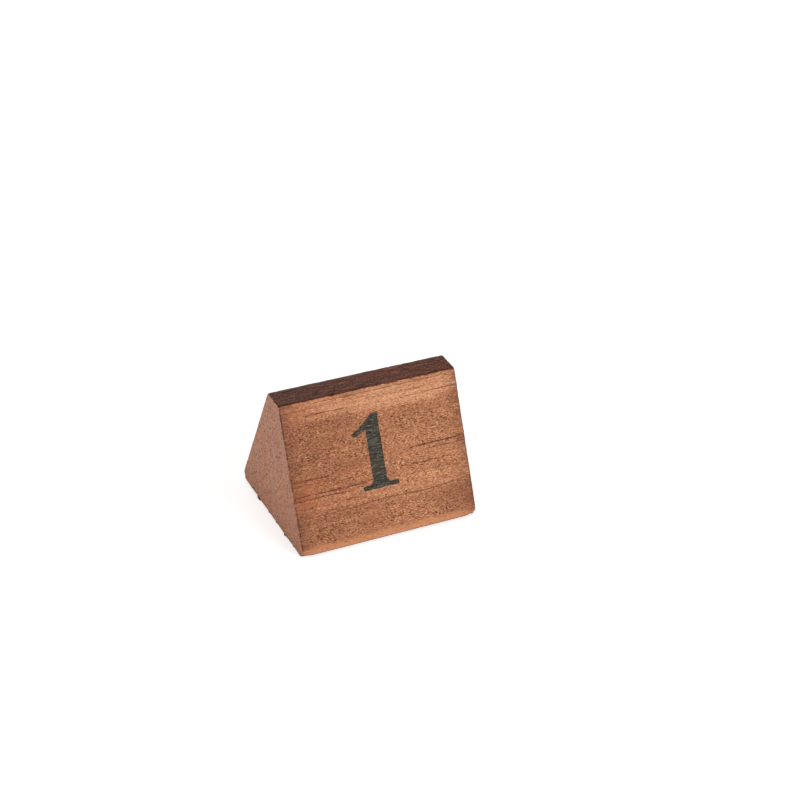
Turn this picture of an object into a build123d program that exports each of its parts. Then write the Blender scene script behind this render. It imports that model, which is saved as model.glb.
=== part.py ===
from build123d import *
import os
from math import atan2, degrees, hypot

# A numbered wooden table block: a solid timber prism with a sloping face on each long side, a narrow flat top,
# and the numeral 1 printed on both sloping faces. The ink has soaked into the surface of the wood, so each
# numeral is a thin solid that fills a pocket of its own shape and lies flush with the face.
#
# Millimetres. The origin is the centre of the base, +Z is up, +X runs along the block and its grain, and the
# front face looks towards -Y.

# Block
length = 68.0
height = 50.0
base_depth = 57.6  # front to back at the base, measured to the corners before they are rounded
top_depth = 9.8
base_round = 2.2  # radius of the two long edges that the block stands between
edge_break = 0.3  # radius that takes the sharpness off every other edge

# Numeral, in the plane of a sloping face: x along the block, y up the slope, from the foot of the stem's centre
numeral_height = 26.85
stem_half_width = 2.65
foot_left = 6.7  # reach of the foot serif to each side of the stem's centre
foot_right = 7.1
foot_thickness = 1.7
foot_end_round = 0.5
bracket = 1.8  # radius where the stem flares into the foot
flag_tip = (-8.1, 20.8)
flag_tip_round = 0.4
flag_heel = (-7.3, 19.45)  # lower corner of the flag's blunt tip
flag_bow = (-5.0, 22.6)  # a point on the flag's upper edge, where it curves up from the tip
flag_top = (0.15, numeral_height)
flag_root = (-stem_half_width, 21.3)  # where the flag's lower edge meets the stem
ink_depth = 0.25  # how far the ink has soaked in

# Place of the numeral on its face
numeral_left = 0.95  # distance from the middle of the face to the stem's centre, towards the reader's left
baseline_drop = 36.1  # distance down the slope from the top edge to the numeral's foot

# Worked out from the sizes above
side_run = (base_depth - top_depth) / 2
slant = hypot(side_run, height)
slope_angle = degrees(atan2(height, side_run))
foot_y = top_depth / 2 + side_run * baseline_drop / slant
foot_z = height * (1 - baseline_drop / slant)

# The plane of each printed face, with its origin at the foot of the numeral's stem and its normal outwards
front_plane = Plane(
    origin=(-numeral_left, -foot_y, foot_z),
    x_dir=(1, 0, 0),
    z_dir=(0, -height, side_run),
)
rear_plane = Plane(
    origin=(numeral_left, foot_y, foot_z),
    x_dir=(-1, 0, 0),
    z_dir=(0, height, side_run),
)

# Outline of the numeral 1: a stem on a bracketed slab foot, with a flag that sweeps down to a blunt tip
with BuildSketch() as numeral_outline:
    with BuildLine():
        foot_bottom = Line((-foot_left, 0), (foot_right, 0))
        right_end = Line(foot_bottom @ 1, (foot_right, foot_thickness))
        right_ledge = Line(right_end @ 1, (stem_half_width + bracket, foot_thickness))
        right_bracket = RadiusArc(
            right_ledge @ 1, (stem_half_width, foot_thickness + bracket), bracket
        )
        stem_right = Line(right_bracket @ 1, (stem_half_width, numeral_height))
        stem_top = Line(stem_right @ 1, flag_top)
        flag_upper = ThreePointArc(stem_top @ 1, flag_bow, flag_tip)
        flag_end = Line(flag_upper @ 1, flag_heel)
        flag_lower = Line(flag_end @ 1, flag_root)
        stem_left = Line(flag_lower @ 1, (-stem_half_width, foot_thickness + bracket))
        left_bracket = RadiusArc(
            stem_left @ 1, (-stem_half_width - bracket, foot_thickness), bracket
        )
        left_ledge = Line(left_bracket @ 1, (-foot_left, foot_thickness))
        Line(left_ledge @ 1, foot_bottom @ 0)
    make_face()
    low_corners = numeral_outline.vertices().filter_by_position(Axis.Y, 0, foot_thickness)
    left_corners = low_corners.group_by(Axis.X)[0]
    right_corners = low_corners.group_by(Axis.X)[-1]
    fillet(left_corners + right_corners, foot_end_round)
    tip_corners = numeral_outline.vertices().filter_by_position(Axis.X, flag_tip[0], flag_heel[0])
    fillet(tip_corners, flag_tip_round)

# The block
with BuildPart() as wood_block:
    with BuildSketch(Plane.YZ.offset(-length / 2)) as section:
        with BuildLine():
            Polyline(
                (-base_depth / 2, 0),
                (base_depth / 2, 0),
                (top_depth / 2, height),
                (-top_depth / 2, height),
                close=True,
            )
        make_face()
        fillet(section.vertices().group_by(Axis.Y)[0], base_round)
    extrude(amount=length)
    top_edges = wood_block.faces().sort_by(Axis.Z)[-1].edges().filter_by(Axis.X)
    end_edges = wood_block.faces().filter_by(Axis.X).edges()
    fillet(top_edges + end_edges, edge_break)
    for face_plane in (front_plane, rear_plane):
        with BuildSketch(face_plane):
            add(numeral_outline.sketch)
        extrude(amount=-ink_depth, mode=Mode.SUBTRACT)
wood_block.part.label = "wood_block"

# The two printed numerals, each filling its pocket
with BuildPart() as front_numeral:
    with BuildSketch(front_plane):
        add(numeral_outline.sketch)
    extrude(amount=-ink_depth)
front_numeral.part.label = "front_numeral"

with BuildPart() as rear_numeral:
    with BuildSketch(rear_plane):
        add(numeral_outline.sketch)
    extrude(amount=-ink_depth)
rear_numeral.part.label = "rear_numeral"

os.makedirs("parts", exist_ok=True)
export_step(wood_block.part, "parts/wood_block.step")
export_step(front_numeral.part, "parts/front_numeral.step")
export_step(rear_numeral.part, "parts/rear_numeral.step")

print(f"slope {slope_angle:.2f} degrees, slant {slant:.2f} mm")
for piece in (wood_block, front_numeral, rear_numeral):
    print(piece.part.label, piece.part.bounding_box(), f"{piece.part.volume:.1f} mm3")
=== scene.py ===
import math
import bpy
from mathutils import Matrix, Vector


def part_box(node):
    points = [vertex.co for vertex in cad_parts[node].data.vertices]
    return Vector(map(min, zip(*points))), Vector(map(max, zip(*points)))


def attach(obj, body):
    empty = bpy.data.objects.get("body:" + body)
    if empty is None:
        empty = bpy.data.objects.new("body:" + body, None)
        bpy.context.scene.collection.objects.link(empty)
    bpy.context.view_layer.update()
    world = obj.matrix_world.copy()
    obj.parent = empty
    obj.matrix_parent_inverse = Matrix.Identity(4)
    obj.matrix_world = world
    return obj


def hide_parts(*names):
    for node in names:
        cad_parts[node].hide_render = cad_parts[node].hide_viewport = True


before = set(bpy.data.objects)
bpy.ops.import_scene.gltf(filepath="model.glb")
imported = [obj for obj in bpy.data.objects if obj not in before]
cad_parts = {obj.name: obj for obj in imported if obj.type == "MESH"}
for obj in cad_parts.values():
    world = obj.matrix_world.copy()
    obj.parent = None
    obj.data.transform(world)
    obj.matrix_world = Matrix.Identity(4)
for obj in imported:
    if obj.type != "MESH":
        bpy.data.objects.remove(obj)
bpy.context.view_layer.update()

from types import SimpleNamespace

import bmesh
import bpy
import numpy as np
from mathutils import Matrix, Vector, geometry, noise

# The looks of the numbered table block: the block as one finely divided mesh with the relief, worn arrises
# and chips of sawn and sanded timber, a procedural solid-wood material that runs through it from face to
# face, and the printed numerals as thin skins that follow the wood under them.
#
# Shapes are worked out in millimetres, in the frame's own axes, and written to the meshes in metres.
MM = 0.001

# Block section, as in the CAD
BASE_DEPTH = 57.6  # to the corners before they are rounded
TOP_DEPTH = 9.8
SIDE_RUN = (BASE_DEPTH - TOP_DEPTH) / 2  # how far each sloping face leans in over the height
BASE_ROUND = 2.2
TOP_ROUND = 0.3
END_ROUND = 0.25  # rounding between the end faces and the others
BLOCK_LOW, BLOCK_HIGH = (np.array(corner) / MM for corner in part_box("wood_block"))
HALF_LENGTH = (BLOCK_HIGH[0] - BLOCK_LOW[0]) / 2
HEIGHT = BLOCK_HIGH[2]
LEAN = HEIGHT / math.hypot(HEIGHT, SIDE_RUN)  # distance to a sloping face for each millimetre of depth

# Mesh fineness
STEP = 0.47  # regular spacing of the grid lines
EDGE_STEP = 0.1  # spacing next to a sharp arris
BASE_STEP = 0.6  # spacing across the underside
STEP_GROWTH = 1.6  # how fast the spacing grows away from an arris
END_TURNS = 3  # facets of the rounding at each end
ARC_POINTS = 13  # points that stand for half of a corner's rounding

# Relief of the surface. Each pattern is its depth, its size along X, Y and Z, and a shift that keeps it apart
# from the others.
SANDER_WAVES = (0.05, (15, 8, 8), (0, 0, 3))
LONG_FURROWS = (0.02, (9, 0.9, 0.9), (0, 40, 0))
SHORT_FURROWS = (0.012, (3.5, 0.7, 0.7), (0, 0, 20))
TORN_END_GRAIN = (0.025, (1, 1.4, 2.1), (0, 0, 60))
MEAN_RELIEF = 0.06  # how far the middle of the relief lies below the true surface
FLAT_FROM, FLAT_TO = 0.3 / 1.4, 1.3 / 1.4  # the share of the normal downwards over which the relief dies away

# Wear and chips along the arrises
WEAR_PATTERN = (0.5, (5, 5, 5), (9, 0, 0))
WEAR_DEPTH = 0.16
WEAR_SPREAD = 0.45
CHIP_PATTERN = (1, (1.6, 1.1, 1.1), (0, 80, 0))
CHIP_LEVEL = 0.28  # a chip comes off wherever the pattern is above this
CHIP_DEPTH = 0.9
CHIP_SPREAD = 0.6
CALM_CHIPS = 0.6  # share of the depth along the long arrises above the foot
FOOT_TOP = 4.0  # below this height the long arrises chip as deeply as the ends
END_SHARE = 0.1  # from this share of the normal along X, a point counts as the end's
DEEPEST_CHIP = 0.2  # kept under the arris rounding, so that the surface never folds

# Wear of the block's corners: how deep at the corner, and how far it spreads
TOP_CORNER_WEAR = (0.12, 0.8)
FRONT_CORNER_WEAR = (1.2, 2.0)
REAR_CORNER_WEAR = (0.5, 1.8)

# Tufts of torn fibres that stick out at the foot of the -X end: where each is along Y, its half width and
# its reach
SPLINTERS = (
    (26.2, 0.5, 0.35),
    (19.5, 0.6, 0.25),
    (12.4, 1.6, 0.75),
    (3.0, 0.6, 0.4),
    (-3.6, 0.5, 0.3),
    (-11.8, 1.1, 0.7),
    (-19.0, 0.6, 0.3),
)
SPLINTER_FADE = 0.75  # height over which they die away
SPLINTER_TOP = 2.5  # none of them reaches higher than this
FRAY_WIDTH, FRAY_HEIGHT, FRAY_SHIFT = 0.35, 0.9, 7  # the pattern that makes them ragged
FRAY_DEPTH = 0.5


def unit(vector):
    return vector / np.linalg.norm(vector)


# ----------------------------------------------------------------------------------------------------
# The block's surface
# ----------------------------------------------------------------------------------------------------


def section_corners():
    """The section's corners as (y, z), from the front of the base round by the rear and the top."""
    base, top = BASE_DEPTH / 2, TOP_DEPTH / 2
    return np.array([(-base, 0), (base, 0), (top, HEIGHT), (-top, HEIGHT)])


def corner_arc(index, part):
    """Points and outward normals on half of one corner's rounding: before its middle where part is -1, and
    after it where part is 1."""
    corners = section_corners()
    radius = (BASE_ROUND, BASE_ROUND, TOP_ROUND, TOP_ROUND)[index]
    before = unit(corners[index - 1] - corners[index])
    after = unit(corners[(index + 1) % 4] - corners[index])
    half_angle = math.acos(before @ after) / 2
    centre = corners[index] + unit(before + after) * radius / math.sin(half_angle)
    outward = -unit(before + after)
    middle = math.atan2(outward[1], outward[0])
    half_turn = math.pi / 2 - half_angle
    angles = middle + half_turn * np.linspace(min(part, 0), max(part, 0), ARC_POINTS)
    normals = np.stack([np.cos(angles), np.sin(angles)], axis=1)
    return centre + radius * normals, normals


def run_in(step, regular):
    """Spacings that grow from step until they reach the regular one."""
    steps = []
    while step < regular:
        steps.append(step)
        step *= STEP_GROWTH
    return steps


def graded(total, first, last, regular):
    """Distances from 0 to total whose spacing grows from first, is regular, and shrinks again to last."""
    head, tail = run_in(first, regular), run_in(last, regular)
    rest = total - sum(head) - sum(tail)
    count = max(1, round(rest / regular))
    middle = [rest / count] * count
    return np.concatenate([[0], np.cumsum(head + middle + tail[::-1])])


def section_side(index, fractions=None, first=STEP, last=STEP, regular=STEP):
    """Points and normals along one side of the section, from the middle of one corner to that of the next,
    and where each lies as a fraction of the way. Given fractions take the place of a graded spacing."""
    arcs = [corner_arc(index, 1), corner_arc((index + 1) % 4, -1)]
    points = np.concatenate([arc[0] for arc in arcs])
    normals = np.concatenate([arc[1] for arc in arcs])
    along = np.concatenate([[0], np.cumsum(np.linalg.norm(np.diff(points, axis=0), axis=1))])
    if fractions is None:
        at = graded(along[-1], first, last, regular)
    else:
        at = fractions * along[-1]

    def sample(columns):
        return np.stack([np.interp(at, along, columns[:, k]) for k in range(2)], axis=1)

    return sample(points), sample(normals), at / along[-1]


def section_outline():
    """The points and normals all round the section, the fractions at which it is divided across, and the
    number of divisions up each sloping side."""
    base, base_normals, across = section_side(0, regular=BASE_STEP)
    rear, rear_normals, _ = section_side(1, first=STEP, last=EDGE_STEP)
    top, top_normals, _ = section_side(2, fractions=across)
    front, front_normals, _ = section_side(3, first=EDGE_STEP, last=STEP)
    outline = np.concatenate([side[:-1] for side in (base, rear, top, front)])
    outward = np.concatenate([side[:-1] for side in (base_normals, rear_normals, top_normals, front_normals)])
    return outline, outward, across, len(rear) - 1


def stations_along():
    """Stations along X, each with the tilt of its normals: the rounding of the -X end, the length, and the
    rounding of the +X end."""
    turns = np.linspace(math.pi / 2, 0, END_TURNS + 1)[:-1]
    flat_half = HALF_LENGTH - END_ROUND
    flat = graded(2 * flat_half, EDGE_STEP, EDGE_STEP, STEP) - flat_half
    stations = [(-HALF_LENGTH + END_ROUND * (1 - math.sin(turn)), -turn) for turn in turns]
    stations += [(x, 0.0) for x in flat]
    stations += [(HALF_LENGTH - END_ROUND * (1 - math.sin(turn)), turn) for turn in turns[::-1]]
    return stations


def station_points(x, tilt, outline, outward):
    """The section's outline and normals at one station, drawn in where the end is rounded."""
    across = np.full(len(outline), x)
    ring = outline - outward * END_ROUND * (1 - math.cos(tilt))
    ahead = np.full(len(outline), math.sin(tilt))
    return np.column_stack([across, ring]), np.column_stack([ahead, outward * math.cos(tilt)])


def side_faces(station_count, around):
    """The faces between the outlines of neighbouring stations."""
    station, j = np.meshgrid(np.arange(station_count - 1), np.arange(around), indexing="ij")
    j_next = (j + 1) % around
    here, beyond = station * around, (station + 1) * around
    return np.stack([here + j, here + j_next, beyond + j_next, beyond + j], axis=-1).reshape(-1, 4)


def end_face(edge, first, made, across, rows):
    """An end face as a grid stretched between the four sides of its edge: the points inside it, and its
    faces. The edge's points are numbered from first, and those inside from made."""
    columns = len(across) - 1
    loop = np.arange(len(edge))
    low = loop[: columns + 1]
    right = loop[columns : columns + rows + 1]
    high = loop[columns + rows : 2 * columns + rows + 1][::-1]
    left = np.append(loop[2 * columns + rows :], 0)[::-1]

    u = across[None, :, None]
    w = np.linspace(0, 1, rows + 1)[:, None, None]
    bottom_side, top_side = edge[low][None], edge[high][None]
    left_side, right_side = edge[left][:, None], edge[right][:, None]
    blend = (1 - w) * bottom_side + w * top_side + (1 - u) * left_side + u * right_side
    blend -= (1 - u) * (1 - w) * bottom_side[:, :1] + u * (1 - w) * bottom_side[:, -1:]
    blend -= (1 - u) * w * top_side[:, :1] + u * w * top_side[:, -1:]
    inside = blend[1:-1, 1:-1].reshape(-1, 3)

    number = np.zeros((rows + 1, columns + 1), int)
    number[0], number[-1], number[:, 0], number[:, -1] = (side + first for side in (low, high, left, right))
    number[1:-1, 1:-1] = made + np.arange(len(inside)).reshape(rows - 1, columns - 1)
    quads = np.stack([number[:-1, :-1], number[1:, :-1], number[1:, 1:], number[:-1, 1:]], axis=-1)
    return inside, quads.reshape(-1, 4)


def block_grid():
    """The block's surface as arrays: points, outward normals and four-cornered faces, closed all round."""
    outline, outward, across, rows = section_outline()
    around = len(outline)
    stations = stations_along()
    rings = [station_points(x, tilt, outline, outward) for x, tilt in stations]
    points = [ring[0] for ring in rings]
    normals = [ring[1] for ring in rings]
    faces = [side_faces(len(stations), around)]
    made = len(stations) * around
    for station, facing in ((0, -1.0), (len(stations) - 1, 1.0)):
        inside, quads = end_face(points[station], station * around, made, across, rows)
        points.append(inside)
        normals.append(np.tile([facing, 0.0, 0.0], (len(inside), 1)))
        faces.append(quads if facing < 0 else quads[:, ::-1])
        made += len(inside)
    return np.concatenate(points), np.concatenate(normals), np.concatenate(faces)


def face_gaps(point):
    """How far a point lies inside each of the block's six faces, smallest first."""
    x, y, z = point
    half_depth = BASE_DEPTH / 2 - SIDE_RUN * z / HEIGHT
    gaps = (HALF_LENGTH - x, HALF_LENGTH + x, (half_depth - y) * LEAN, (half_depth + y) * LEAN, z, HEIGHT - z)
    return sorted(gaps)


def bell(distance, spread):
    """1 at no distance, and falling smoothly towards 0 beyond the spread."""
    return math.exp(-((distance / spread) ** 2))


def pattern_at(point, pattern):
    """A relief pattern's height at a point, between minus its depth and its depth."""
    depth, sizes, shifts = pattern
    place = [c / size + shift for c, size, shift in zip(point, sizes, shifts)]
    return depth * noise.noise(Vector(place))


def torn_out(y, z):
    """How far the tufts of torn fibres stick out of the -X end at a point of its foot."""
    ragged = 1.0 + FRAY_DEPTH * noise.noise(Vector((y / FRAY_WIDTH, z / FRAY_HEIGHT, FRAY_SHIFT)))
    reach = max(size * bell(y - middle, half_width) for middle, half_width, size in SPLINTERS)
    return reach * ragged * bell(z, SPLINTER_FADE)


def arris_wear(point, end_grain):
    """How much is worn and chipped off near the arrises."""
    gap = face_gaps(point)[1]
    wear = WEAR_DEPTH * (0.5 + pattern_at(point, WEAR_PATTERN)) * bell(gap, WEAR_SPREAD)
    chip = max(0.0, pattern_at(point, CHIP_PATTERN) - CHIP_LEVEL)
    roughness = 1.0 if point[2] < FOOT_TOP or end_grain > END_SHARE else CALM_CHIPS
    chip *= CHIP_DEPTH * roughness * bell(gap, CHIP_SPREAD)
    return min(wear + chip, DEEPEST_CHIP)


def sunk(point, normal):
    """How far the real surface lies below the true one at a point, in millimetres: waves left by the sander,
    furrows along the grain, torn end grain, and wear and chips along the arrises."""
    x, y, z = point
    end_grain = abs(normal[0])
    furrow = pattern_at(point, LONG_FURROWS) + pattern_at(point, SHORT_FURROWS)
    torn = pattern_at(point, TORN_END_GRAIN)
    if x < 0 and z < SPLINTER_TOP:
        torn -= torn_out(y, z) * min(1.0, end_grain * 2)
    relief = MEAN_RELIEF + pattern_at(point, SANDER_WAVES) + furrow * (1 - end_grain) + torn * end_grain
    underside = min(1.0, max(0.0, (-normal[2] - FLAT_FROM) / (FLAT_TO - FLAT_FROM)))
    return relief * (1 - underside) + arris_wear(point, end_grain)


def corner_wear(point):
    """The step that carries a point near one of the block's corners inwards, all in one direction so that the
    surface never folds. The front foot's corners are worn the most."""
    x, y, z = point
    if z > HEIGHT / 2:
        depth, spread = TOP_CORNER_WEAR
    elif y < 0:
        depth, spread = FRONT_CORNER_WEAR
    else:
        depth, spread = REAR_CORNER_WEAR
    inwards = [-math.copysign(1, x), -math.copysign(1, y), math.copysign(1, HEIGHT / 2 - z)]
    return depth * bell(face_gaps(point)[2], spread) * unit(np.array(inwards))


def add_mesh(name, points, faces):
    """A new smooth-shaded object from millimetre points."""
    mesh = bpy.data.meshes.new(name)
    mesh.from_pydata((np.asarray(points) * MM).tolist(), [], [tuple(face) for face in faces])
    mesh.validate()
    mesh.update()
    mesh.polygons.foreach_set("use_smooth", [True] * len(mesh.polygons))
    piece = bpy.data.objects.new(name, mesh)
    bpy.context.scene.collection.objects.link(piece)
    return piece


def make_block():
    points, normals, faces = block_grid()
    depths = np.array([sunk(point, normal) for point, normal in zip(points.tolist(), normals.tolist())])
    steps = np.array([corner_wear(point) for point in points.tolist()])
    points = points - normals * depths[:, None] + steps
    points[:, 2] = np.maximum(points[:, 2], 0.0)
    return add_mesh("timber_block", points, faces.tolist())


# ----------------------------------------------------------------------------------------------------
# The printed numerals
# ----------------------------------------------------------------------------------------------------

INK_RISE = 0.03  # how far the print stands above the wood
INK_SKIN = 0.15  # how far its edge reaches down into the wood
INK_STEP = 0.3  # spacing of the points inside its outline
ROW_STEP = INK_STEP * 0.87  # spacing of their rows, which makes the triangles nearly regular
SAME_POINT = 1e-4  # points closer than this are one
SAME_LEVEL = 0.01  # how flat the face that carries the outline is
FACING = 0.99  # how squarely it looks along the normal
WALL_TURN = 0.7  # faces that look along the normal less than this are the skin's edge


def printed_face(side):
    """The outward normal, the direction up the slope and the reader's right of a sloping face. side is -1
    for the front face and 1 for the rear one."""
    normal = unit(np.array([0.0, side * HEIGHT, SIDE_RUN]))
    up = unit(np.array([0.0, -side * SIDE_RUN, HEIGHT]))
    return normal, up, np.cross(up, normal)


def numeral_outline(node, normal):
    """The outer edge of a numeral's CAD solid on its face, in order, in millimetres."""
    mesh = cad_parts[node].data
    points = np.array([vertex.co for vertex in mesh.vertices]) / MM
    height = points @ normal
    level = height.max()
    links = {}
    for polygon in mesh.polygons:
        low = height[list(polygon.vertices)].min() < level - SAME_LEVEL
        if low or Vector(normal).dot(polygon.normal) < FACING:
            continue
        corners = [tuple(points[i].round(4)) for i in polygon.vertices]
        for start, end in zip(corners, corners[1:] + corners[:1]):
            links[start, end] = True
    following = {start: end for start, end in links if (end, start) not in links}
    outline = [next(iter(following))]
    while following[outline[-1]] != outline[0]:
        outline.append(following[outline[-1]])
    return np.array(outline)


def points_over(low, high):
    """Points in staggered rows over a rectangle."""
    points = []
    for row, v in enumerate(np.arange(low[1], high[1], ROW_STEP)):
        points += [Vector((u, v)) for u in np.arange(low[0] + INK_STEP / 2 * (row % 2), high[0], INK_STEP)]
    return points


def thicken(piece, normal):
    """Gives a skin walls down into the wood and a flat bottom, which close it."""
    shell = bmesh.new()
    shell.from_mesh(piece.data)
    rim = [edge for edge in shell.edges if edge.is_boundary]
    walls = bmesh.ops.extrude_edge_only(shell, edges=rim)["geom"]
    for item in walls:
        if isinstance(item, bmesh.types.BMVert):
            item.co -= Vector(normal) * INK_SKIN * MM
    bottom = [item for item in walls if isinstance(item, bmesh.types.BMEdge) and item.is_boundary]
    bmesh.ops.triangle_fill(shell, use_beauty=True, edges=bottom)
    bmesh.ops.recalc_face_normals(shell, faces=shell.faces)
    for face in shell.faces:
        face.smooth = abs(face.normal.dot(Vector(normal))) > WALL_TURN
    for edge in shell.edges:
        edge.smooth = all(face.smooth for face in edge.link_faces)
    shell.to_mesh(piece.data)
    shell.free()


def make_numeral(node, name, side):
    """A thin closed skin of ink in the numeral's CAD outline, which follows the wood's relief under it."""
    normal, up, right = printed_face(side)
    outline = numeral_outline(node, normal)
    flat = np.stack([outline @ right, outline @ up], axis=1)
    seeds = [Vector(point) for point in flat.tolist()] + points_over(flat.min(0), flat.max(0))
    loop = list(range(len(flat)))
    placed, _, cells, _, _, _ = geometry.delaunay_2d_cdt(seeds, [], [loop], 1, SAME_POINT)
    plane = normal * (outline[0] @ normal)
    base = np.array([plane + right * point.x + up * point.y for point in placed])
    depths = np.array([sunk(point, normal) for point in base.tolist()])
    piece = add_mesh(name, base - normal * (depths - INK_RISE)[:, None], cells)
    thicken(piece, normal)
    return piece


# ----------------------------------------------------------------------------------------------------
# Materials
# ----------------------------------------------------------------------------------------------------

# Growth rings: cylinders about an axis along X, behind and below the block. Each ring is its outer radius and
# how strongly its dense late wood shows there.
PITH_Y = 240.9
PITH_Z = -44.4
RINGS = (
    (213.0, 0.9),
    (220.5, 0.8),
    (227.2, 0.9),
    (235.1, 1.0),
    (240.4, 0.8),
    (248.1, 0.9),
    (253.7, 1.0),
    (261.6, 0.7),
    (263.9, 1.0),
    (269.4, 0.5),
    (276.0, 0.8),
)
INNER_RADIUS, OUTER_RADIUS = 206.0, 276.5  # the radii between which the rings are drawn
LINED_RING = RINGS[-2][0]  # the ring that ends in a thin dark line
LINE_WIDTH = 0.07
RING_DROP = 0.1  # how abruptly a ring's late wood ends
THIN_RING = 3.0  # rings wider than this stay porous for longer
POROUS_PART = 0.6  # how far through a wide ring its porous wood reaches
POROUS_TONE = 0.35  # how late the wood looks there
TWIST = -0.0003  # how fast the rings' slope along X changes with height
LEVEL_HEIGHT = 24.0  # where the rings run level
RING_SWAY = 0.7  # how far the rings wander

# Dark streaks on the front face: where each starts and ends along X, its height, half width and strength
STREAKS = (
    (-21, 28, 48.6, 0.3, 0.75),
    (-34, 6, 47.2, 0.2, 0.4),
    (-25, -10, 45.3, 0.42, 1.0),
    (13, 34, 44.6, 0.28, 0.8),
    (-2, 20, 46.4, 0.2, 0.5),
    (12, 34, 27.9, 0.4, 1.0),
    (18, 33, 26.5, 0.32, 0.9),
    (-34, -20, 25.0, 0.4, 1.0),
    (-34, -16, 23.8, 0.3, 0.6),
    (10, 28, 22.5, 0.36, 0.9),
    (-34, -6, 20.2, 0.38, 1.0),
    (-34, -12, 18.9, 0.34, 0.9),
    (-10, -3, 20.7, 0.35, 0.9),
    (8, 30, 19.6, 0.26, 0.5),
)
STREAK_WOBBLE = 1.6  # how far a streak wanders up and down
STREAK_TAPER = 2.0  # half the length over which its ends fade

# Faces, told apart by the share of the surface normal along an axis
END_FACING = (0.55, 0.85)
TOP_FACING = (0.5, 0.65)
FRONT_FACING = (-0.6, -0.3)
TOP_EDGE = (HEIGHT - 1.0, HEIGHT - 0.6)  # the top's tone starts between these heights

# Patches of the long faces: the distances along X or the heights between which each fades in or out
DRIFT_X = (-32.0, 12.0)
DARK_FOOT_X, DARK_FOOT_Z = (14.0, 32.0), (11.0, 15.0)
DIM_CORNER_X, DIM_CORNER_Z = (-32.0, -18.0), (41.0, 45.0)
SAWN_X, SAWN_FROM, SAWN_TO = (-30.0, -12.0), (26.0, 31.0), (41.0, 44.0)
REDDISH_X, REDDISH_FROM, REDDISH_TO = (-32.0, -6.0), (12.0, 17.0), (24.0, 29.0)
WORN_FOOT_Z = (3.0, 4.8)
# painted contact shadow along the bottom edge of the long faces: the heights over which it fades
FOOT_SHADOW_Z = (0.5, 1.8)
STAINED_END = (HALF_LENGTH - 7.0, HALF_LENGTH)
DARK_ARRIS = (HALF_LENGTH - 0.75, HALF_LENGTH - 0.3)
BEYOND_END = (-HALF_LENGTH - 0.2, -HALF_LENGTH)  # where the tufts stick out
DARK_RIM = (0.15, 0.75)  # distance inside the end face
FOOT_RIM_SHARE = 0.6  # makes the rim wider along the foot
RIPENING = (0.1, 0.6)  # how late the wood is where early wood gives way to late wood

# How light the long grain is, as a place among its body colours, and what changes it
EARLY_LIGHT, LATE_LIFT = 0.22, 0.75  # late wood is lighter by the second
DRIFT_LIGHT = (-0.24, 0.1)
DARK_FOOT_LIGHT, DIM_CORNER_LIGHT = -0.5, -0.4
STREAK_LIGHT = (0.5, 1.2)  # in early wood and in late wood
CLOUD_LIGHT = 0.8

# How strongly each mark covers the wood
LATE_SMOOTHNESS, CALM_SMOOTHNESS = 0.5, 0.35
HAIR_STRENGTH, EARLY_HAIR_SHARE = 0.5, 0.3
RING_LINE_STRENGTH, LATE_LINE_STRENGTH = 0.8, 0.85
SAW_STRENGTH, REDDISH_STRENGTH = 0.75, 0.6
# the first is the worn foot's strength; the second is the strength of the painted contact shadow along the
# foot
WORN_FOOT_STRENGTH, FOOT_SHADOW_STRENGTH = 0.75, 0.9
END_STAIN_STRENGTH = (0.08, 0.7)
ARRIS_STRENGTH, RIM_STRENGTH = 0.85, 0.85
SPLINTER_STRENGTH = 0.9
# the first darkens the top towards the -X end; the second is the strength of a painted shadow along the top's
# front edge
TOP_DARKER_STRENGTH, FRONT_SHADOW_STRENGTH = 0.32, (0.6, 0.2)
# painted highlight along the top's rear edge: its strength, and its shares at the two ends of its span along
# X
REAR_HIGHLIGHT_STRENGTH, REAR_HIGHLIGHT_SHARES = 0.5, (1.0, 0.1)

# Patches of the top
# where the top darkens towards the -X end
TOP_DARKER_X = (-34.0, 4.0)
# painted shadow along the top's front edge
FRONT_SHADOW_X, FRONT_SHADOW_Y = (-34.0, 10.0), (-4.5, -3.4)
# painted highlight along the top's rear edge
REAR_HIGHLIGHT_X, REAR_HIGHLIGHT_Y = (-6.0, 8.0), (3.4, 4.5)

# Open grain: the radii between which each spot fades, and the share of the scattered points that have one
PORE_RADII, PIT_RADII, VESSEL_RADII = (0.12, 0.36), (0.08, 0.2), (0.13, 0.22)
EARLY_PORES, LATE_PORES = 0.5, 0.16
PIT_SHARE, VESSEL_SHARE = 0.35, 0.24
PORE_DARKNESS, PIT_DARKNESS, VESSEL_DARKNESS = 0.6, 0.8, 0.95
PORE_DEPTH, PIT_DEPTH = 0.06, 0.1
FLECK_RELIEF, HAIR_RELIEF = 0.05, 0.04

WOOD_SHEEN = 0.2  # the wood and the ink in it reflect little
INK_ROUGHNESS = 0.75


def srgb(red, green, blue):
    """A colour as seen on a screen, 0 to 255, as the linear colour that a shader takes."""
    channels = (c / 255 for c in (red, green, blue))
    return tuple(c / 12.92 if c <= 0.04045 else ((c + 0.055) / 1.055) ** 2.4 for c in channels) + (1.0,)


# Stops of the colour ramps. Those named tones multiply another colour, and a plain number is a grey.
BODY_COLOURS = (
    (0.0, srgb(151, 95, 65)),
    (0.4, srgb(171, 112, 78)),
    (0.7, srgb(184, 124, 88)),
    (1.0, srgb(198, 140, 104)),
)
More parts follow.
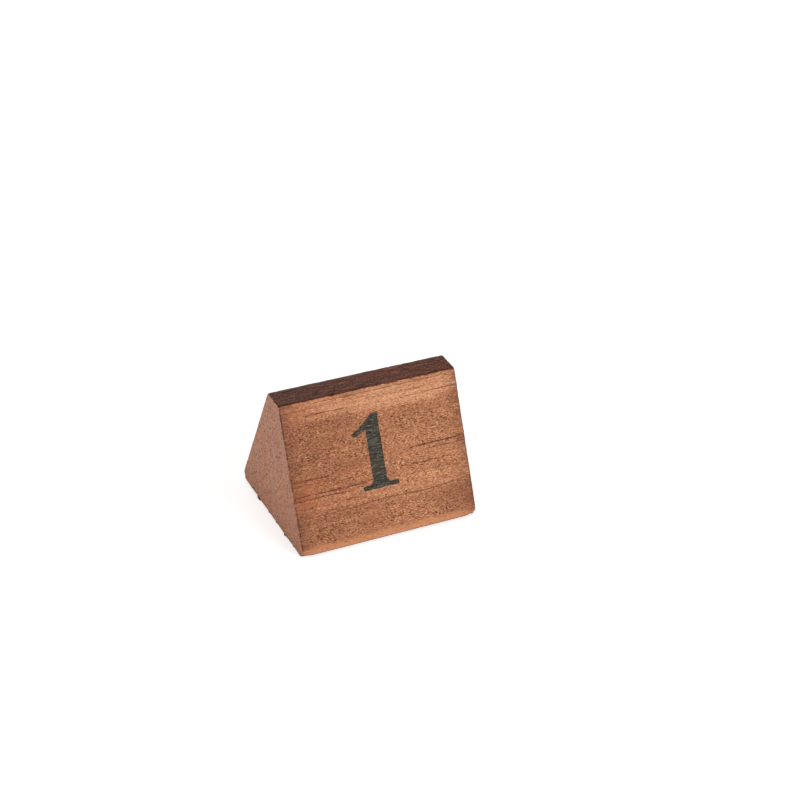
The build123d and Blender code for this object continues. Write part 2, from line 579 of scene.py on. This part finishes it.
# the top's colours: dark partly from its own tone and partly as painted shade
TOP_TONE_AND_SHADE_COLOURS = ((0.36, srgb(36, 12, 6)), (0.5, srgb(98, 53, 37)), (0.64, srgb(162, 100, 72)))
INK_COLOURS = ((0.35, srgb(4, 3, 1)), (0.5, srgb(57, 53, 45)), (0.65, srgb(112, 104, 91)))
FLECK_TONES = (
    (0.29, (0.16, 0.11, 0.1, 1)),
    (0.4, (0.62, 0.55, 0.52, 1)),
    (0.55, (1.09, 1.14, 1.15, 1)),
    (0.7, (1.58, 1.85, 1.9, 1)),
)
TINT_TONES = ((0.32, (1.04, 0.96, 1.0, 1)), (0.5, (1.0, 1.0, 1.0, 1)), (0.68, (0.97, 1.02, 0.94, 1)))
SAW_TONES = ((0.36, 0.66), (0.5, 1.0), (0.64, 1.3))
FIBRE_TONES = ((0.3, 0.72), (0.5, 1.0), (0.7, 1.2))
GRIT_TONES = ((0.32, 0.2), (0.42, 0.76), (0.55, 1.14), (0.66, 1.6))
# painted shade: the end faces turn darker and warmer towards the foot
END_SHADE_TONES = ((0.0, srgb(228, 218, 204)), (0.3, srgb(248, 245, 240)), (1.0, srgb(253, 252, 250)))

# Single colours of the timber, and of the painted shade and highlight on it
STREAK_BROWN = srgb(84, 34, 20)
HAIR_BROWN = srgb(116, 66, 46)
RING_LINE_BROWN = srgb(100, 56, 38)
REDDISH_BROWN = srgb(168, 90, 54)
WORN_FOOT_TAN = srgb(190, 128, 88)
# painted contact shadow along the bottom edge of the long faces
FOOT_SHADOW_BROWN = srgb(66, 40, 26)
END_STAIN_BROWN = srgb(112, 62, 42)
ARRIS_BROWN = srgb(68, 34, 20)
RIM_BROWN = srgb(72, 40, 24)
SPLINTER_BROWN = srgb(56, 30, 16)
END_EARLY_WOOD = srgb(162, 111, 86)
END_LATE_WOOD = srgb(156, 119, 105)
# darkens the top towards the -X end, and is the painted shadow along its front edge
TOP_DARK_AND_SHADOW_BROWN = srgb(40, 12, 6)
# painted highlight along the top's rear edge
PAINTED_HIGHLIGHT_GREY = srgb(128, 112, 110)
PORE_BROWN = srgb(84, 48, 36)
PIT_BROWN = srgb(70, 38, 28)
VESSEL_BROWN = srgb(48, 26, 18)


def set_stops(ramp, stops):
    """Gives a colour ramp's node its stops. A plain number stands for a grey."""
    elements = ramp.color_ramp.elements
    while len(elements) < len(stops):
        elements.new(1.0)
    for element, (position, colour) in zip(elements, stops):
        element.position = position
        element.color = colour if isinstance(colour, tuple) else (colour, colour, colour, 1)


class Graph:
    """Short calls for a material's nodes. Vectors are in millimetres."""

    def __init__(self, name):
        self.material = bpy.data.materials.new(name)
        self.material.use_nodes = True
        self.tree = self.material.node_tree
        coordinates = self.node("ShaderNodeTexCoord", {})
        self.place = self.vector("SCALE", coordinates.outputs["Object"], scale=1 / MM)
        self.x, self.y, self.z = self.split(self.place)
        self.normal_x, self.normal_y, self.normal_z = self.split(coordinates.outputs["Normal"])

    def connect(self, value, socket):
        """Links a socket to another, or sets it to a plain value. None leaves it as it is."""
        if isinstance(value, bpy.types.NodeSocket):
            self.tree.links.new(value, socket)
        elif value is not None:
            socket.default_value = value

    def node(self, kind, inputs, **settings):
        node = self.tree.nodes.new(kind)
        for name, value in settings.items():
            setattr(node, name, value)
        for name, value in inputs.items():
            self.connect(value, node.inputs[name])
        return node

    def math(self, operation, first, second=None, third=None):
        return self.node("ShaderNodeMath", {0: first, 1: second, 2: third}, operation=operation).outputs[0]

    def product(self, first, *others):
        for other in others:
            first = self.math("MULTIPLY", first, other)
        return first

    def swing(self, pattern, amount, base):
        """base, raised and lowered with a noise pattern's departure from its middle."""
        return self.math("MULTIPLY_ADD", self.math("SUBTRACT", pattern, 0.5), amount, base)

    def vector(self, operation, first, second=None, scale=None, output="Vector"):
        inputs = {0: first, 1: second}
        if scale is not None:
            inputs["Scale"] = scale
        return self.node("ShaderNodeVectorMath", inputs, operation=operation).outputs[output]

    def split(self, vector):
        return tuple(self.node("ShaderNodeSeparateXYZ", {0: vector}).outputs)

    def combined(self, *parts):
        return self.node("ShaderNodeCombineXYZ", dict(enumerate(parts))).outputs[0]

    def stretched(self, along, across, shift):
        """The place divided by a feature's length along the grain and its width across it."""
        scaled = self.vector("MULTIPLY", self.place, (1 / along, 1 / across, 1 / across))
        return self.vector("ADD", scaled, (shift, shift, shift))

    def in_section(self, size, shift):
        """The place in the section alone, divided by the size of a feature that runs all along the wood."""
        scaled = self.vector("SCALE", self.combined(self.y, self.z), scale=1 / size)
        return self.vector("ADD", scaled, (shift, shift, shift))

    def about_pith(self, outwards, around):
        """The place in the section of the tree, stretched along its rays."""
        above, ahead = self.math("SUBTRACT", self.z, PITH_Z), self.math("SUBTRACT", PITH_Y, self.y)
        turn = self.math("MULTIPLY", self.math("ARCTAN2", above, ahead), PITH_Y / around)
        return self.combined(self.math("DIVIDE", self.y, outwards), turn, self.x)

    def slanting(self, along, across, degrees_up):
        """The place drawn out along a line that rises by an angle over the block's length."""
        turn = math.radians(degrees_up)
        directions = ((math.cos(turn), 0, math.sin(turn)), (-math.sin(turn), 0, math.cos(turn)))
        line, side = (self.vector("DOT_PRODUCT", self.place, d, output="Value") for d in directions)
        return self.combined(self.math("DIVIDE", line, along), self.math("DIVIDE", side, across))

    def noise_at(self, place, detail=2.0, roughness=0.5):
        """Noise of 0 to 1 whose features are about one unit of the place long."""
        inputs = {"Vector": place, "Scale": 1.0, "Detail": detail, "Roughness": roughness}
        return self.node("ShaderNodeTexNoise", inputs).outputs[0]

    def noise(self, along, across, shift, detail=2.0, roughness=0.5):
        """Noise with features of a length along the grain and a width across it."""
        return self.noise_at(self.stretched(along, across, shift), detail, roughness)

    def spots(self, place, radii, share, **settings):
        """Spots on a share of many scattered points, which fade between two radii."""
        node = self.node("ShaderNodeTexVoronoi", {"Vector": place, "Scale": 1.0}, **settings)
        chance = self.split(node.outputs["Color"])[0]
        chosen = self.math("LESS_THAN", chance, share)
        return self.product(self.fall(node.outputs["Distance"], radii), chosen)

    def span(self, value, low, high, to_low, to_high, smooth=True):
        """value carried from low..high to to_low..to_high and held there beyond."""
        inputs = {"Value": value, "From Min": low, "From Max": high, "To Min": to_low, "To Max": to_high}
        shape = "SMOOTHSTEP" if smooth else "LINEAR"
        return self.node("ShaderNodeMapRange", inputs, interpolation_type=shape).outputs[0]

    def rise(self, value, between, top=1.0):
        """0 below the first of two values, and top above the second."""
        return self.span(value, *between, 0.0, top)

    def fall(self, value, between, top=1.0):
        """top below the first of two values, and 0 above the second."""
        return self.span(value, *between, top, 0.0)

    def ramp(self, factor, stops):
        node = self.node("ShaderNodeValToRGB", {0: factor})
        set_stops(node, stops)
        return node.outputs[0]

    def mix(self, factor, first, second, blend="MIX"):
        inputs = {"Factor": factor, 6: first, 7: second}
        return self.node("ShaderNodeMix", inputs, data_type="RGBA", blend_type=blend).outputs[2]

    def toned(self, colour, tone):
        """A colour multiplied by a tone."""
        return self.mix(1.0, colour, tone, "MULTIPLY")

    def finish(self, colour, roughness, height):
        """Sets the shader, with the relief's height in millimetres, and returns the material."""
        bump = self.node("ShaderNodeBump", {"Height": height, "Strength": 1.0, "Distance": MM})
        shader = self.tree.nodes["Principled BSDF"]
        self.connect(colour, shader.inputs["Base Color"])
        self.connect(roughness, shader.inputs["Roughness"])
        self.connect(bump.outputs[0], shader.inputs["Normal"])
        shader.inputs["Specular IOR Level"].default_value = WOOD_SHEEN
        return self.material


def ring_stops():
    """Stops that rise through each growth ring from 0 at its porous start to its late wood, and drop at its
    end."""

    def position(radius):
        return min(max((radius - INNER_RADIUS) / (OUTER_RADIUS - INNER_RADIUS), 0.0), 1.0)

    stops = []
    start = INNER_RADIUS
    for radius, strength in RINGS:
        width = radius - start
        stops.append((position(start + RING_DROP), 0.0))
        if width > THIN_RING:
            stops.append((position(start + POROUS_PART * width), POROUS_TONE * strength))
        stops.append((position(radius - RING_DROP), strength))
        start = radius
    return stops


def growth_rings(g):
    """How late in its ring the wood is, from 0 to 1, and the thin dark line at the end of one ring."""
    off_axis = g.vector("MULTIPLY", g.vector("SUBTRACT", g.place, (0, PITH_Y, PITH_Z)), (0, 1, 1))
    radius = g.vector("LENGTH", off_axis, output="Value")
    slope = g.math("MULTIPLY", g.math("SUBTRACT", g.z, LEVEL_HEIGHT), TWIST)
    radius = g.math("MULTIPLY_ADD", g.x, slope, radius)
    radius = g.swing(g.noise(along=26, across=10, shift=5, detail=1), RING_SWAY, radius)
    lateness = g.ramp(g.span(radius, INNER_RADIUS, OUTER_RADIUS, 0.0, 1.0, smooth=False), ring_stops())
    from_line = g.math("ABSOLUTE", g.math("SUBTRACT", radius, LINED_RING))
    return lateness, g.fall(from_line, (0.0, LINE_WIDTH))


def timber_pattern(g):
    """The solid pattern that the timber's colour and its relief share. It runs through the block, so the
    rings of the end faces meet the bands of the long faces at the arrises."""
    lateness, ring_line = growth_rings(g)
    end_grain = g.rise(g.math("ABSOLUTE", g.normal_x), END_FACING)
    pore_share = g.span(lateness, 0.0, 0.9, EARLY_PORES, LATE_PORES, smooth=False)
    vessel = g.spots(g.in_section(size=1.7, shift=67), VESSEL_RADII, VESSEL_SHARE, voronoi_dimensions="2D")
    return SimpleNamespace(
        lateness=lateness,
        ring_line=ring_line,
        end_grain=end_grain,
        fleck=g.noise(along=0.74, across=0.34, shift=31, detail=1),
        hair=g.noise(along=24, across=0.42, shift=23, roughness=0.6),
        pore=g.spots(g.stretched(along=1.9, across=0.42, shift=3), PORE_RADII, pore_share),
        pit=g.spots(g.stretched(along=3.6, across=1.5, shift=17), PIT_RADII, PIT_SHARE),
        vessel=g.product(vessel, end_grain),
    )


def timber_height(g, wood):
    """The relief of pores, pits, vessels, flecks and fibres, in millimetres."""
    holes = g.math("MAXIMUM", wood.pit, wood.vessel)
    height = g.math("MULTIPLY_ADD", holes, -PIT_DEPTH, g.product(wood.pore, -PORE_DEPTH))
    height = g.swing(wood.fleck, FLECK_RELIEF, height)
    return g.swing(wood.hair, HAIR_RELIEF, height)


def brightness(g, wood):
    """How light the long grain is, as a place among its body colours."""
    light = g.math("MULTIPLY_ADD", wood.lateness, LATE_LIFT, EARLY_LIGHT)
    light = g.math("ADD", light, g.span(g.x, *DRIFT_X, *DRIFT_LIGHT))
    dark_foot = g.product(g.rise(g.x, DARK_FOOT_X, DARK_FOOT_LIGHT), g.fall(g.z, DARK_FOOT_Z))
    light = g.math("ADD", light, dark_foot)
    dim_corner = g.product(g.fall(g.x, DIM_CORNER_X, DIM_CORNER_LIGHT), g.rise(g.z, DIM_CORNER_Z))
    light = g.math("ADD", light, dim_corner)
    streakiness = g.span(wood.lateness, *RIPENING, *STREAK_LIGHT)
    streak = g.noise(along=60, across=1.5, shift=11, detail=3, roughness=0.55)
    cloud = g.noise(along=11, across=6, shift=43)
    return g.swing(cloud, CLOUD_LIGHT, g.swing(streak, streakiness, light))


def sanded_grain(g, wood):
    """The long grain before its marks: speckled early wood, and smoother and streakier late wood."""
    body = g.ramp(brightness(g, wood), BODY_COLOURS)
    tint = g.ramp(g.noise(along=4.5, across=1.1, shift=101, detail=3, roughness=0.6), TINT_TONES)
    speckled = g.toned(g.toned(body, g.ramp(wood.fleck, FLECK_TONES)), tint)
    body = g.toned(body, tint)
    calm = g.rise(g.noise(along=8, across=4, shift=51, detail=1), (0.4, 0.65), CALM_SMOOTHNESS)
    smoothness = g.math("MAXIMUM", g.rise(wood.lateness, (0.2, 0.7), LATE_SMOOTHNESS), calm)
    colour = g.mix(smoothness, speckled, body)
    hair_share = g.span(wood.lateness, *RIPENING, EARLY_HAIR_SHARE, 1.0)
    hair_line = g.product(g.fall(wood.hair, (0.3, 0.4), HAIR_STRENGTH), hair_share)
    colour = g.mix(hair_line, colour, HAIR_BROWN)
    return g.mix(g.product(wood.ring_line, RING_LINE_STRENGTH), colour, RING_LINE_BROWN)


def saw_marks(g, front):
    """The tone of the scratches that a saw left across the grain on the left of the front face."""
    scratches = g.noise_at(g.slanting(along=9, across=0.42, degrees_up=32), roughness=0.6)
    across = g.fall(g.x, SAWN_X, SAW_STRENGTH)
    here = g.product(across, g.rise(g.z, SAWN_FROM), g.fall(g.z, SAWN_TO), front)
    return g.mix(here, (1, 1, 1, 1), g.ramp(scratches, SAW_TONES))


def add_reddish_patch(g, colour):
    """Reddish fibres on the long faces towards the -X end."""
    across = g.fall(g.x, REDDISH_X, REDDISH_STRENGTH)
    patch = g.product(across, g.rise(g.z, REDDISH_FROM), g.fall(g.z, REDDISH_TO))
    fibres = g.rise(g.noise(along=12, across=0.7, shift=117), (0.4, 0.6))
    return g.mix(g.product(patch, fibres), colour, REDDISH_BROWN)


def add_streaks(g, colour, front):
    """The dark mineral streaks of the front face, which run along the grain."""
    level = g.swing(g.noise(along=14, across=4, shift=71), STREAK_WOBBLE, g.z)
    marks = None
    for start, end, height, width, strength in STREAKS:
        middle, half = (start + end) / 2, (end - start) / 2
        along = g.math("ABSOLUTE", g.math("SUBTRACT", g.x, middle))
        across = g.math("ABSOLUTE", g.math("SUBTRACT", level, height))
        length = g.fall(along, (half - STREAK_TAPER, half + STREAK_TAPER), strength)
        mark = g.product(length, g.fall(across, (0.0, width)))
        marks = mark if marks is None else g.math("MAXIMUM", marks, mark)
    broken = g.span(g.noise(along=3.5, across=0.8, shift=77), 0.35, 0.55, 0.4, 1.0)
    return g.mix(g.product(marks, broken, front), colour, STREAK_BROWN)


def add_foot_and_ends(g, colour, charred):
    """The long grain's worn foot, a painted contact shadow along its bottom edge, the stain towards its ends,
    and the dark fibres of their arrises.
    """
    colour = g.mix(g.fall(g.z, WORN_FOOT_Z, WORN_FOOT_STRENGTH), colour, WORN_FOOT_TAN)
    # painted contact shadow: a dark band along the bottom edge
    colour = g.mix(g.fall(g.z, FOOT_SHADOW_Z, FOOT_SHADOW_STRENGTH), colour, FOOT_SHADOW_BROWN)
    from_middle = g.math("ABSOLUTE", g.x)
    fibres = g.noise(along=6, across=0.7, shift=107, detail=3, roughness=0.6)
    stained = g.product(g.rise(from_middle, STAINED_END), g.span(fibres, 0.36, 0.62, *END_STAIN_STRENGTH))
    colour = g.mix(stained, colour, END_STAIN_BROWN)
    arris = g.product(g.rise(from_middle, DARK_ARRIS, ARRIS_STRENGTH), charred)
    return g.mix(arris, colour, ARRIS_BROWN)


def long_grain(g, wood, charred):
    front = g.fall(g.normal_y, FRONT_FACING)
    colour = g.toned(sanded_grain(g, wood), saw_marks(g, front))
    colour = add_streaks(g, add_reddish_patch(g, colour), front)
    return add_foot_and_ends(g, colour, charred)


def end_grain(g, wood, charred):
    """The end faces: greyer, with the late wood as mauve-grey lines, painted shade that darkens them towards
    the foot, and a dark rim.
    """
    late_line = g.rise(wood.lateness, (0.3, 0.75), LATE_LINE_STRENGTH)
    body = g.mix(late_line, END_EARLY_WOOD, END_LATE_WOOD)
    # painted shade, darker towards the foot
    body = g.toned(body, g.ramp(g.span(g.z, 0.0, HEIGHT, 0.0, 1.0, smooth=False), END_SHADE_TONES))
    ray = g.noise_at(g.about_pith(outwards=2.2, around=0.16))
    grit = g.noise(along=0.9, across=0.6, shift=83, roughness=0.6)
    grit = g.math("MULTIPLY_ADD", ray, 0.3, g.product(grit, 0.7))
    colour = g.toned(body, g.ramp(grit, GRIT_TONES))
    half_depth = g.math("MULTIPLY_ADD", g.z, -SIDE_RUN / HEIGHT, BASE_DEPTH / 2)
    inside = g.product(g.math("SUBTRACT", half_depth, g.math("ABSOLUTE", g.y)), LEAN)
    inside = g.math("MINIMUM", inside, g.product(g.z, FOOT_RIM_SHARE))
    rim = g.product(g.fall(inside, DARK_RIM, RIM_STRENGTH), charred)
    return g.mix(rim, colour, RIM_BROWN)


def top_grain(g, wood):
    """The narrow top: dark and dull, partly from its own darker tone and partly as painted shade, darker
    towards the -X end, with a painted shadow along its front and a painted highlight along its rear.
    """
    grain = g.noise(along=5, across=0.4, shift=113, detail=3, roughness=0.6)
    grain = g.math("MULTIPLY_ADD", grain, 0.6, g.product(wood.fleck, 0.4))
    colour = g.ramp(grain, TOP_TONE_AND_SHADE_COLOURS)
    # painted shadow along the top's front edge, joined with the darkening towards the -X end
    front_shadow = g.product(g.fall(g.y, FRONT_SHADOW_Y), g.span(g.x, *FRONT_SHADOW_X, *FRONT_SHADOW_STRENGTH))
    dark_and_shadow = g.math("MAXIMUM", front_shadow, g.fall(g.x, TOP_DARKER_X, TOP_DARKER_STRENGTH))
    colour = g.mix(dark_and_shadow, colour, TOP_DARK_AND_SHADOW_BROWN)
    # painted highlight along the top's rear edge
    rear_highlight = g.product(g.rise(g.y, REAR_HIGHLIGHT_Y, REAR_HIGHLIGHT_STRENGTH), g.span(g.x, *REAR_HIGHLIGHT_X, *REAR_HIGHLIGHT_SHARES))
    return g.mix(rear_highlight, colour, PAINTED_HIGHLIGHT_GREY)


def timber_colour(g, wood):
    """The timber's colour on every face, with its open pores."""
    charred = g.rise(g.noise(along=9, across=1.4, shift=91, detail=3), (0.4, 0.56))
    colour = g.mix(wood.end_grain, long_grain(g, wood, charred), end_grain(g, wood, charred))
    colour = g.mix(g.fall(g.x, BEYOND_END, SPLINTER_STRENGTH), colour, SPLINTER_BROWN)
    on_top = g.product(g.rise(g.normal_z, TOP_FACING), g.rise(g.z, TOP_EDGE))
    colour = g.mix(on_top, colour, top_grain(g, wood))
    colour = g.mix(g.product(wood.pore, PORE_DARKNESS), colour, PORE_BROWN)
    colour = g.mix(g.product(wood.pit, PIT_DARKNESS), colour, PIT_BROWN)
    fibre = g.noise(along=1.9, across=0.09, shift=37, roughness=0.6)
    colour = g.toned(colour, g.ramp(fibre, FIBRE_TONES))
    return g.mix(g.product(wood.vessel, VESSEL_DARKNESS), colour, VESSEL_BROWN)


def timber_material():
    g = Graph("oiled_timber")
    wood = timber_pattern(g)
    roughness = g.span(wood.fleck, 0.3, 0.7, 0.76, 0.6)
    return g.finish(timber_colour(g, wood), roughness, timber_height(g, wood))


def ink_material():
    """Matt printing ink, thin enough for the grain to show in it."""
    g = Graph("printed_ink")
    fleck = g.noise(along=0.8, across=0.4, shift=31, roughness=0.6)
    fibre = g.noise(along=3, across=0.36, shift=57, detail=3, roughness=0.6)
    colour = g.ramp(g.math("MULTIPLY_ADD", fibre, 0.6, g.product(fleck, 0.4)), INK_COLOURS)
    return g.finish(colour, INK_ROUGHNESS, timber_height(g, timber_pattern(g)))


def table_material():
    """A white acrylic light table: it glows a little, so that shadows on it stay soft and pale."""
    material = bpy.data.materials.new("light_table")
    material.use_nodes = True
    shader = material.node_tree.nodes["Principled BSDF"]
    shader.inputs["Base Color"].default_value = (0.82, 0.82, 0.82, 1)
    shader.inputs["Roughness"].default_value = 0.9
    shader.inputs["Specular IOR Level"].default_value = 0.1
    shader.inputs["Emission Color"].default_value = (1, 1, 1, 1)
    shader.inputs["Emission Strength"].default_value = 0.56
    return material


# ----------------------------------------------------------------------------------------------------
# Camera, table and light
# ----------------------------------------------------------------------------------------------------

CAMERA_AZIMUTH = -27.0  # degrees, seen from the front and a little from the block's left end
CAMERA_ELEVATION = 32.6
CAMERA_ROLL = 2.52
CAMERA_DISTANCE = 0.6977  # metres from the block's middle, along the line of sight
CAMERA_RIGHT = 0.01419  # how far the camera stands off that line
CAMERA_ABOVE = 0.01401
CAMERA_LENS = 87.7

STUDIO_TONES = ((0.17, 1.0), (0.34, 0.5), (0.8, 0.24))  # brightness from table height up to overhead
TABLE_HALF_SIDE = 0.75
TABLE_DROP = 0.00002  # keeps the table's surface just under the block's

# Each light: its name, its place, the side of its square and its power
LIGHTS = (
    ("key", (0.45, -0.95, 0.42), 0.5, 5.8),
    ("fill", (-1.0, -0.25, 0.4), 0.6, 3.4),
    ("back", (0.1, 1.1, 0.45), 0.6, 4.1),
)


def add_camera():
    azimuth, elevation, roll = (math.radians(a) for a in (CAMERA_AZIMUTH, CAMERA_ELEVATION, CAMERA_ROLL))
    out, rise = math.cos(elevation), math.sin(elevation)
    back = Vector((math.sin(azimuth) * out, -math.cos(azimuth) * out, rise))
    level = Vector((math.cos(azimuth), math.sin(azimuth), 0))
    upright = back.cross(level)
    right = level * math.cos(roll) + upright * math.sin(roll)
    up = upright * math.cos(roll) - level * math.sin(roll)
    middle = Vector((0, 0, HEIGHT / 2 * MM))
    place = middle + back * CAMERA_DISTANCE + right * CAMERA_RIGHT + up * CAMERA_ABOVE
    camera = bpy.data.objects.new("camera", bpy.data.cameras.new("camera"))
    camera.data.lens = CAMERA_LENS
    camera.data.clip_start, camera.data.clip_end = 0.01, 50
    camera.matrix_world = Matrix.Translation(place) @ Matrix((right, up, back)).transposed().to_4x4()
    bpy.context.scene.collection.objects.link(camera)
    bpy.context.scene.camera = camera


def add_light(name, place, size, power):
    """A soft square light that faces the block."""
    lamp = bpy.data.lights.new(name, "AREA")
    lamp.shape = "SQUARE"
    lamp.size = size
    lamp.energy = power
    light = bpy.data.objects.new(name, lamp)
    light.location = place
    towards = Vector((0, 0, HEIGHT / 2 * MM)) - Vector(place)
    light.rotation_euler = towards.to_track_quat("-Z", "Y").to_euler()
    bpy.context.scene.collection.objects.link(light)


def add_surroundings():
    """A studio that is bright all round at table height and dim overhead."""
    world = bpy.data.worlds.new("studio")
    world.use_nodes = True
    tree = world.node_tree
    direction = tree.nodes.new("ShaderNodeTexCoord")
    split = tree.nodes.new("ShaderNodeSeparateXYZ")
    ramp = tree.nodes.new("ShaderNodeValToRGB")
    tree.links.new(direction.outputs["Generated"], split.inputs[0])
    tree.links.new(split.outputs[2], ramp.inputs[0])
    tree.links.new(ramp.outputs[0], tree.nodes["Background"].inputs["Color"])
    set_stops(ramp, STUDIO_TONES)
    bpy.context.scene.world = world


def add_table():
    table = bpy.data.meshes.new("table")
    half = TABLE_HALF_SIDE
    corners = [(-half, -half, 0), (half, -half, 0), (half, half, 0), (-half, half, 0)]
    table.from_pydata(corners, [], [(0, 1, 2, 3)])
    floor = bpy.data.objects.new("table", table)
    floor.location.z = -TABLE_DROP
    table.materials.append(table_material())
    bpy.context.scene.collection.objects.link(floor)


add_camera()
add_surroundings()
add_table()
for light in LIGHTS:
    add_light(*light)
bpy.context.scene.view_settings.view_transform = "Standard"

block = make_block()
block.data.materials.append(timber_material())
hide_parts("wood_block")
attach(block, "root")

ink = ink_material()
for node, name, side in (("front_numeral", "front_print", -1), ("rear_numeral", "rear_print", 1)):
    numeral = make_numeral(node, name, side)
    numeral.data.materials.append(ink)
    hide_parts(node)
    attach(numeral, "root")
